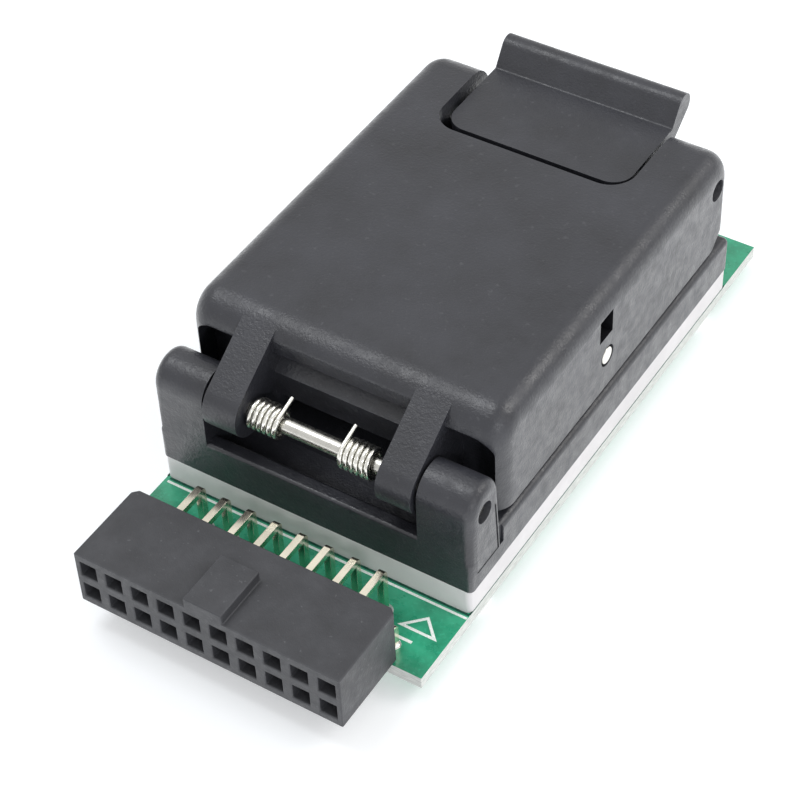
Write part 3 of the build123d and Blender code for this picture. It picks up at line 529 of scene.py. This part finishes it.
studio = {
    "aim": (0, 0, 8),        # millimetres, as the lamps' places and sizes
    "floorReach": 3.0,       # metres from the middle
    "floorThickness": 0.004,
    "floorColour": (0.77, 0.79, 0.81),
    "floorGlow": 0.32,       # what camera rays see on top of the lit floor
    "mirrorGlow": 1.0,       # what mirror and glass rays see there
    "worldLight": 0.72,
    "key": {"place": (170, 130, 210), "size": 140, "watts": 0.30, "colour": (1.0, 0.98, 0.95)},
    "sky": {"place": (-110, -25, 300), "size": 130, "watts": 0.31, "colour": (0.96, 0.98, 1.0)},
    "side": {"place": (220, -165, 135), "size": 36, "watts": 0.16, "colour": (0.97, 0.98, 1.0)},
}


def larger(material, first, second):
    node = addNode(material, "ShaderNodeMath", operation="MAXIMUM")
    join(material, first, node.inputs[0])
    join(material, second, node.inputs[1])
    return node.outputs["Value"]


def isSeen(material, cameraShare=1.0, mirrorShare=1.0):
    # the first share for camera rays, the second for mirror and glass rays, and none for the rest
    path = addNode(material, "ShaderNodeLightPath")
    mirrored = larger(material, path.outputs["Is Glossy Ray"], path.outputs["Is Transmission Ray"])
    return larger(material, multiply(material, path.outputs["Is Camera Ray"], cameraShare),
                  multiply(material, mirrored, mirrorShare))


def layFloor():
    material = bpy.data.materials.new("pale floor")
    material.use_nodes = True
    tree = material.node_tree
    tree.nodes.clear()
    paper = addNode(material, "ShaderNodeBsdfDiffuse", {"Color": (*studio["floorColour"], 1)})
    glow = addNode(material, "ShaderNodeEmission", {"Color": (1, 1, 1, 1)})
    join(material, isSeen(material, studio["floorGlow"], studio["mirrorGlow"]), glow.inputs["Strength"])
    both = addNode(material, "ShaderNodeAddShader")
    join(material, paper.outputs[0], both.inputs[0])
    join(material, glow.outputs[0], both.inputs[1])
    output = addNode(material, "ShaderNodeOutputMaterial")
    join(material, both.outputs[0], output.inputs["Surface"])
    mesh = bmesh.new()
    reach = studio["floorReach"]
    slabMesh(mesh, rectangle(-reach, -reach, reach, reach), -studio["floorThickness"], 0.0)
    data = bpy.data.meshes.new("floor")
    mesh.to_mesh(data)
    mesh.free()
    floor = bpy.data.objects.new("floor", data)
    bpy.context.scene.collection.objects.link(floor)
    data.materials.append(material)


def lightWorld():
    world = bpy.data.worlds.new("studio")
    bpy.context.scene.world = world
    world.use_nodes = True
    world.node_tree.nodes.clear()
    seen = isSeen(world)
    back = addNode(world, "ShaderNodeBackground", {"Color": (1, 1, 1, 1)})
    strength = remap(world, seen, 0.0, 1.0, studio["worldLight"], 1.0)
    join(world, strength, back.inputs["Strength"])
    output = addNode(world, "ShaderNodeOutputWorld")
    join(world, back.outputs[0], output.inputs["Surface"])


def hangLamp(name):
    look = studio[name]
    data = bpy.data.lights.new(name + " lamp", "AREA")
    data.shape = "SQUARE"
    data.size = look["size"] * mm
    data.energy = look["watts"]
    data.color = look["colour"]
    lamp = bpy.data.objects.new(name + " lamp", data)
    bpy.context.scene.collection.objects.link(lamp)
    lamp.location = Vector(look["place"]) * mm
    beam = Vector(studio["aim"]) * mm - lamp.location
    lamp.rotation_euler = beam.to_track_quat("-Z", "Y").to_euler()


placeCamera()
layFloor()
lightWorld()
for lampName in ("key", "sky", "side"):
    hangLamp(lampName)
bpy.context.scene.view_settings.view_transform = "Standard"
print("camera, floor and lamps placed")


# Moulded and milled pieces

boardLow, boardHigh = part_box("circuit_board")
boardTop = boardHigh.z


def paintBoard(face):
    # mask on top and below, laminate along the edges
    return 0 if abs(face.normal.z) > 0.9 else 1


# the blind slots above the cross pin's ends, in millimetres from the pin
sideSlot = {"ahead": 1.6, "behind": 0.95, "low": 2.15, "high": 4.9, "skin": 0.15, "depth": 3.3}
pinLow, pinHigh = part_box("cross_pin")


def paintLid(face):
    # painted shade inside the slots
    pinY, pinZ = (pinLow.y + pinHigh.y) / 2, (pinLow.z + pinHigh.z) / 2
    place = face.calc_center_median()
    inY = -sideSlot["ahead"] * mm < place.y - pinY < sideSlot["behind"] * mm
    inZ = sideSlot["low"] * mm < place.z - pinZ < sideSlot["high"] * mm
    inX = pinHigh.x - sideSlot["depth"] * mm < abs(place.x) < pinHigh.x - sideSlot["skin"] * mm
    return 1 if inX and inY and inZ else 0


# the painted shadow in the seam round each ear's foot, in millimetres from the base's front and underside
earSeamShadow = {
    "width": 0.2,
    "frontGap": 0.6,
    "panelHeight": 1.8,
    "depth": 4.1,
    "taper": 0.6,            # how much narrower the ear is at its top
    "top": 7.4,
    "faceDepth": 0.02,       # what counts as the ear's outer face
}
baseLow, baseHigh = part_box("base_housing")


def onEarFace(face):
    outside = abs(face.calc_center_median().x) > baseHigh.x - earSeamShadow["faceDepth"] * mm
    return outside and abs(face.normal.x) > 0.99


def seamShadowLines():
    # front, back, foot and top of the seam's painted shadow on the ears' outer faces
    return (baseLow.y + earSeamShadow["frontGap"] * mm, baseLow.y + earSeamShadow["depth"] * mm,
            baseLow.z + earSeamShadow["panelHeight"] * mm, baseLow.z + earSeamShadow["top"] * mm)


def backLean():
    # how far the ear's back edge leans forward for each metre of height
    return earSeamShadow["taper"] * mm / (baseHigh.z - seamShadowLines()[2])


def splitBase(mesh):
    # edges along the seam's outlines, so that its painted shadow can have its own material
    front, back, foot, top = seamShadowLines()
    width = earSeamShadow["width"] * mm
    cuts = [((0, 0, foot + width), (0, 0, 1)), ((0, 0, top), (0, 0, 1)),
            ((0, front, 0), (0, 1, 0)), ((0, back - width, foot), (0, 1, backLean()))]
    for point, normal in cuts:
        faces = [f for f in mesh.faces if onEarFace(f)]
        edges = list({e for f in faces for e in f.edges})
        corners = list({v for f in faces for v in f.verts})
        bmesh.ops.bisect_plane(mesh, geom=faces + edges + corners, dist=1e-7, plane_co=point, plane_no=normal)
        mesh.normal_update()


def paintBase(face):
    # painted shadow: a dark line along the foot and the back edge of each ear's outer face
    if not onEarFace(face):
        return 0
    place = face.calc_center_median()
    front, back, foot, top = seamShadowLines()
    width = earSeamShadow["width"] * mm
    alongFoot = place.z < foot + width and place.y > front
    alongBack = place.y > back - width - backLean() * (place.z - foot) and place.z < top
    return 1 if alongFoot or alongBack else 0


dressNode("circuit_board", "socket", [maskGreen, laminateEdge], edge=0.06, segments=1,
          paint=paintBoard)
dressNode("header_housing", "socket", [headerPlastic], edge=0.12)
dressNode("spacer_plate", "socket", [spacerPlastic], edge=0.1)
# the base's and the lid's second material is painted shade, in the ears' seams and the lid's slots
dressNode("base_housing", "socket", [socketPlastic, paintedShadePlastic], edge=0.1,
          split=splitBase, paint=paintBase)
dressNode("lid_cover", "lid", [socketPlastic, paintedShadePlastic], edge=0.1, paint=paintLid)
dressNode("latch_lever", "latch", [socketPlastic], edge=0.1)
dressNode("chip_guide", "guide", [guidePlastic], edge=0.06)
dressNode("contact_block", "socket", [blockPlastic])
dressNode("pressure_plate", "pusher", [aluminium], edge=0.08)
print("housings dressed")


# Metal pieces

for nodeName, bodyName, slotName, finish, softened in (
    ("header_contacts_upper", "socket", "contact_tin", tin, 0.03),
    ("header_contacts_lower", "socket", "contact_tin", tin, 0.03),
    ("socket_screws", "socket", "screw_steel", zinc, 0.1),
    ("locating_dowels", "socket", "pin_steel", groundPin, 0.06),
    ("guide_screws", "socket", "screw_steel", zinc, 0.08),
    ("hinge_rod", "socket", "pin_steel", groundPin, 0.22),
    ("cross_pin", "lid", "pin_steel", groundPin, 0.08),
    ("latch_pin", "lid", "pin_steel", groundPin, 0.08),
    ("contact_plungers", "plungers", "plunger_gold", gold, 0.0),
):
    dressNode(nodeName, bodyName, [finish], edge=softened)
print("metal pieces dressed")


# Springs

torsionSize = {
    "outer": 2.9,
    "wire": 0.45,
    "turns": 6,              # whole turns, less the angle between the legs
    "baseLegAngle": -122.6,  # where the legs leave the coil, seen from the right
    "lidLegAngle": 106,
    "baseLegLength": 5.4,
    "lidLegLength": 1.9,
    "stepsPerTurn": 48,
    "legSteps": (6, 4),      # base leg and lid leg
    "sides": 14,
}


def jointPlace(name):
    return Vector([j for j in frame["joints"] if j["name"] == name][0]["pos_m"])


def torsionSpring(node, side):
    # wound from the arm inward, over the top and back, with side -1 on the left and 1 on the right
    size = torsionSize
    low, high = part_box(node)
    axis = jointPlace("lid_hinge")
    radius = (size["outer"] - size["wire"]) / 2 * mm
    half = size["wire"] / 2 * mm
    outerX, innerX = (low.x + half, high.x - half) if side < 0 else (high.x - half, low.x + half)
    first = radians(size["baseLegAngle"])
    last = radians(size["lidLegAngle"] - 360 * size["turns"])
    steps = size["stepsPerTurn"] * size["turns"]

    def onCoil(share):
        turn = first + (last - first) * share
        x = outerX + (innerX - outerX) * share
        return Vector((x, axis.y + radius * cos(turn), axis.z + radius * sin(turn)))

    def awayFrom(turn, sense):
        # the coil's own direction there, or against it
        return Vector((0, sin(turn), -cos(turn))) * sense * mm

    coil = [onCoil(i / steps) for i in range(steps + 1)]
    baseSteps, lidSteps = size["legSteps"]
    baseLeg = [coil[0] + awayFrom(first, -1) * size["baseLegLength"] * k / baseSteps
               for k in range(baseSteps, 0, -1)]
    lidLeg = [coil[-1] + awayFrom(last, 1) * size["lidLegLength"] * k / lidSteps
              for k in range(1, lidSteps + 1)]
    mesh = bmesh.new()
    tubeMesh(mesh, baseLeg + coil + lidLeg, half, size["sides"])
    piece = newPiece(node + "_finished", mesh, None, [springWire])
    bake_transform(piece)
    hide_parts(node)


torsionSpring("torsion_spring_left", -1)
torsionSpring("torsion_spring_right", 1)

coilSizes = {
    "guide_springs": {"outer": 2.0, "wire": 0.3, "turns": 4, "spots": 4, "bodies": ("socket", "guide")},
    "pressure_springs": {"outer": 2.4, "wire": 0.35, "turns": 5, "spots": 4, "bodies": ("pusher", "lid")},
    "latch_springs": {"outer": 2.2, "wire": 0.3, "turns": 6, "spots": 2, "bodies": ("lid", "latch")},
}
coilEnds = {"closedTurns": 0.75, "closedRise": 0.1, "stepsPerTurn": 28, "sides": 8}


def coilSprings(node):
    # upright springs in the corners of the node's box, with closed ends
    size = coilSizes[node]
    low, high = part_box(node)
    half = size["outer"] / 2 * mm
    wire = size["wire"] * mm
    sidesX = (low.x + half, high.x - half)
    sidesY = (low.y + half, high.y - half) if size["spots"] == 4 else ((low.y + high.y) / 2,)
    radius = half - wire / 2
    turns, closed, flat = size["turns"], coilEnds["closedTurns"], coilEnds["closedRise"]
    steps = coilEnds["stepsPerTurn"] * turns
    mesh = bmesh.new()
    for x in sidesX:
        for y in sidesY:
            points = []
            for i in range(steps + 1):
                share = i / steps
                turn = 2 * pi * turns * share
                eased = min(max((share * turns - closed) / (turns - 2 * closed), 0), 1)
                rise = wire / 2 + (high.z - low.z - wire) * (flat * share + (1 - flat) * eased)
                points.append(Vector((x + radius * cos(turn), y + radius * sin(turn), low.z + rise)))
            tubeMesh(mesh, points, wire / 2, coilEnds["sides"])
    piece = newPiece(node + "_finished", mesh, None, [springWire])
    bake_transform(piece)
    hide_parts(node)


for nodeName in coilSizes:
    coilSprings(nodeName)
print("springs wound")


# Solder, pads and ink on the board

solderSize = {
    "pitch": 2.54,
    "upperColumns": 8,
    "lowerColumns": 10,
    "padRadius": 0.78,
    "padHeight": 0.04,
    "filletHeight": 0.45,
    "lowerPadRadius": 0.6,
    "lowerFilletHeight": 0.2,
    "tailFilletHeight": 0.7,
    "legRadius": 0.36,
    "legHalf": 0.32,         # half a contact's thickness
    "sides": 20,
}

boardPrint = {
    "inkHeight": 0.018,
    "lineWidth": 0.24,
    "lineGap": 0.5,          # from the spacer plate's front to the ink line
    "lineMargins": (0.35, 0.05),            # left free at the board's left and right edge
    "paintedShadeWidth": 0.22,                    # painted shade strip along the spacer plate's front
    "paintedShadeGap": 0.01,
    "paintedShadowWidth": 0.012,                    # painted shadow in the joint along its sides
    "paintedShadowHeight": 0.09,
    "paintedShadowSink": (0.1, 0.02),               # into the plate and into the board
    "triangle": (12.4, 1.55, 1.58, 0.26),   # middle, half width, depth and ink width
    "triangleGap": 3.64,                    # from the spacer plate's front to its straight side
    "bar": (11.93, 1.3, 0.28),              # middle, length and ink width
    "barGap": 1.2,                          # from the triangle's straight side
}


def setOff(corners, k, amount):
    # corner k of an outline moved out so that both its sides move by amount
    before, corner, after = corners[k - 1], corners[k], corners[(k + 1) % len(corners)]
    first, second = (before - corner).normalized(), (after - corner).normalized()
    halfAngle = first.angle(second) / 2
    return corner - (first + second).normalized() * amount / sin(halfAngle)


def contactSpots(node, columns):
    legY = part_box(node)[1].y - solderSize["legHalf"] * mm
    return [((i - (columns - 1) / 2) * solderSize["pitch"] * mm, legY) for i in range(columns)]


def solderJoints():
    size = solderSize
    upper = contactSpots("header_contacts_upper", size["upperColumns"])
    lower = contactSpots("header_contacts_lower", size["lowerColumns"])
    rows = [(spot, size["padRadius"], size["filletHeight"]) for spot in upper]
    rows += [(spot, size["lowerPadRadius"], size["lowerFilletHeight"]) for spot in lower]
    leg, tail = size["legRadius"], size["tailFilletHeight"]
    mesh = bmesh.new()
    for (x, y), pad, height in rows:
        above = [(pad, 0.0), (pad, size["padHeight"]), (pad * 0.93, height * 0.15),
                 (pad * 0.76, height * 0.3), (leg * 1.35, height * 0.62), (leg * 1.05, height)]
        under = [(leg * 1.05, -tail), (leg * 1.4, -tail * 0.6), (pad * 0.75, -0.2),
                 (pad * 0.95, -0.08), (pad, 0.0)]
        for profile, z in ((above, boardTop), (under, boardLow.z)):
            latheMesh(mesh, profile, Vector((x, y, z)), size["sides"])
    newPiece("header_solder", mesh, "socket", [solder])


def inkMarks():
    size = boardPrint
    top = boardTop + size["inkHeight"] * mm
    plateFront = spacerLow.y
    lineY = plateFront - size["lineGap"] * mm
    half = size["lineWidth"] / 2 * mm
    mesh = bmesh.new()
    slabMesh(mesh, rectangle(lineLeft, lineY - half, lineRight, lineY + half), boardTop, top)
    # pin one: an open triangle with a short bar beside it
    centre, halfWidth, depth, width = size["triangle"]
    straightY = plateFront / mm - size["triangleGap"]
    corners = [Vector((centre - halfWidth, straightY)), Vector((centre, straightY + depth)),
               Vector((centre + halfWidth, straightY))]
    outer = [setOff(corners, k, width / 2) * mm for k in range(3)]
    inner = [setOff(corners, k, -width / 2) * mm for k in range(3)]
    ringMesh(mesh, outer, inner, boardTop, top)
    middle, length, width = size["bar"]
    barY = straightY - size["barGap"]
    bar = rectangle(middle - length / 2, barY - width / 2, middle + length / 2, barY + width / 2)
    slabMesh(mesh, [(x * mm, y * mm) for x, y in bar], boardTop, top)
    newPiece("board_ink", mesh, "socket", [whiteInk])


def paintedPlateShade():
    # painted shade: a dark strip along the spacer plate's front, and a painted shadow in the joint along its
    # sides
    size = boardPrint
    front, back = spacerLow.y - size["paintedShadeWidth"] * mm, spacerLow.y - size["paintedShadeGap"] * mm
    mesh = bmesh.new()
    slabMesh(mesh, rectangle(lineLeft, front, lineRight, back), boardTop, boardTop + size["inkHeight"] * mm)
    intoPlate, intoBoard = size["paintedShadowSink"]
    inner, outer = spacerHigh.x - intoPlate * mm, spacerHigh.x + size["paintedShadowWidth"] * mm
    for left, right in ((-outer, -inner), (inner, outer)):
        slabMesh(mesh, rectangle(left, back, right, spacerHigh.y), boardTop - intoBoard * mm,
                 boardTop + size["paintedShadowHeight"] * mm)
    newPiece("board_painted_shade", mesh, "socket", [paintedShadeMaterial])


spacerLow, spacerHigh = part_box("spacer_plate")
lineLeft = boardLow.x + boardPrint["lineMargins"][0] * mm
lineRight = boardHigh.x - boardPrint["lineMargins"][1] * mm
solderJoints()
inkMarks()
paintedPlateShade()
print("board print done")
